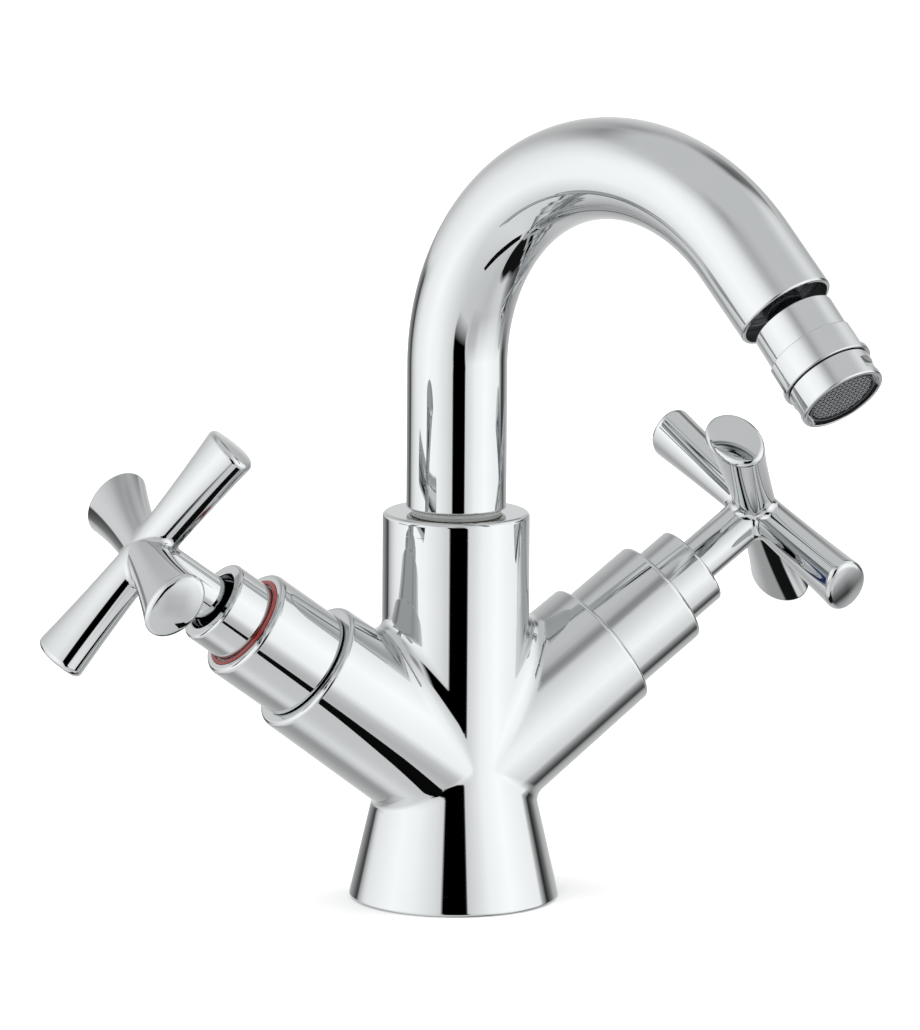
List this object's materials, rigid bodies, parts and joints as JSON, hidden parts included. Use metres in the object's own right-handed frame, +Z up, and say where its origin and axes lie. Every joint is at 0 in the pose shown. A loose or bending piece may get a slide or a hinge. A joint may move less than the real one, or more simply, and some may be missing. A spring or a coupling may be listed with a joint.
{
  "type": "bidet mixer tap",
  "caption": "Bidet mixer tap with leaning valve arms, cross handles, an arched swivel spout and a ball-jointed aerator nozzle.",
  "frame": {"origin": "centre of the foot's underside, on the column's axis", "axes": "+Z up along the column, -Y towards the user, -X towards the hot side"},
  "size_m": [0.2092, 0.1553, 0.1988],
  "materials": {
    "plated_brass": "polished chrome plate on brass",
    "bare_brass": "turned",
    "screw_steel": "satin",
    "mesh_steel": "woven wire",
    "seal_rubber": "matt",
    "slide_plastic": "moulded acetal",
    "aerator_plastic": "moulded acetal",
    "disc_ceramic": "lapped alumina ceramic",
    "hot_red": "gloss",
    "cold_blue": "gloss"
  },
  "bodies": {
    "tap_body": {"mixer_body": "plated_brass", "base_gasket": "seal_rubber", "spout_bush": "slide_plastic", "spout_retaining_screw": "screw_steel", "hot_seat_seal": "seal_rubber", "hot_fixed_disc": "disc_ceramic", "hot_headwork_body": "plated_brass", "hot_headwork_washer": "seal_rubber", "hot_bonnet": "plated_brass", "hot_index_ring": "hot_red", "hot_sleeve": "plated_brass", "cold_seat_seal": "seal_rubber", "cold_fixed_disc": "disc_ceramic", "cold_headwork_body": "plated_brass", "cold_headwork_washer": "seal_rubber", "cold_bonnet": "plated_brass", "cold_index_ring": "cold_blue", "cold_sleeve": "plated_brass"},
    "hot_handle": {"hot_cross_handle": "plated_brass", "hot_spindle": "bare_brass", "hot_moving_disc": "disc_ceramic", "hot_spindle_oring": "seal_rubber", "hot_handle_screw": "screw_steel"},
    "cold_handle": {"cold_cross_handle": "plated_brass", "cold_spindle": "bare_brass", "cold_moving_disc": "disc_ceramic", "cold_spindle_oring": "seal_rubber", "cold_handle_screw": "screw_steel"},
    "spout": {"spout_tube": "plated_brass", "spout_spigot": "bare_brass", "spout_upper_oring": "seal_rubber", "spout_lower_oring": "seal_rubber", "outlet_socket": "plated_brass", "ball_adapter": "plated_brass"},
    "ball_ring": {"ball_seal": "seal_rubber"},
    "nozzle": {"nozzle_cup": "plated_brass", "nozzle_body": "plated_brass", "aerator_housing": "plated_brass", "aerator_washer": "seal_rubber", "aerator_insert": "aerator_plastic", "aerator_mesh": "mesh_steel"}
  },
  "joints": [
    {"name": "hot_handle_turn", "type": "hinge", "parent": "tap_body", "child": "hot_handle", "pos_m": [0, 0, 0.0315], "axis": [-0.807, 0, 0.5906], "range_deg": [0, 90]},
    {"name": "cold_handle_turn", "type": "hinge", "parent": "tap_body", "child": "cold_handle", "pos_m": [0, 0, 0.0315], "axis": [0.807, 0, 0.5906], "range_deg": [-90, 0]},
    {"name": "spout_swivel", "type": "hinge", "parent": "tap_body", "child": "spout", "pos_m": [0, 0, 0.0964], "axis": [0, 0, 1], "continuous": true},
    {"name": "nozzle_tilt_fore_aft", "type": "hinge", "parent": "spout", "child": "ball_ring", "pos_m": [0.04506, -0.10026, 0.15253], "axis": [0.9121, 0.4099, 0], "range_deg": [-15, 15]},
    {"name": "nozzle_tilt_sideways", "type": "hinge", "parent": "ball_ring", "child": "nozzle", "pos_m": [0.04506, -0.10026, 0.15253], "axis": [-0.2899, 0.645, -0.7071], "range_deg": [-18, 12]}
  ]
}
